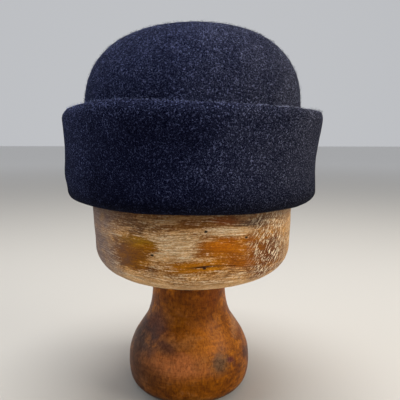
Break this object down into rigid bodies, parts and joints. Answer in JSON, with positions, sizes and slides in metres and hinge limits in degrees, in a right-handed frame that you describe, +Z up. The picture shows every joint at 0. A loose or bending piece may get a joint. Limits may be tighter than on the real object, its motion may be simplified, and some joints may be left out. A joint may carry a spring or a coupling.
{
  "type": "cuffed felt hat on a wooden hat block stand",
  "caption": "Blocked felt hat with a domed crown and a deep turned-up cuff, shown on an oval wooden block with a turned foot.",
  "frame": {"origin": "on the surface that the foot stands on, under the middle of the hat's outline", "axes": "+Z up, the hat's front towards -Y, its longer way along Y, +X to the right of someone facing the front"},
  "size_m": [0.2102, 0.2472, 0.3044],
  "materials": {
    "felt": "thick wool felt in dark blue-grey with fine pale fibres",
    "worn_wood": "amber varnish under worn pale paint, satin",
    "varnished_wood": "turned, red-brown varnish, glossy and stained"
  },
  "bodies": {
    "root": {"felt_hat": "felt", "hat_block": "worn_wood", "stand_foot": "varnished_wood"}
  },
  "joints": []
}
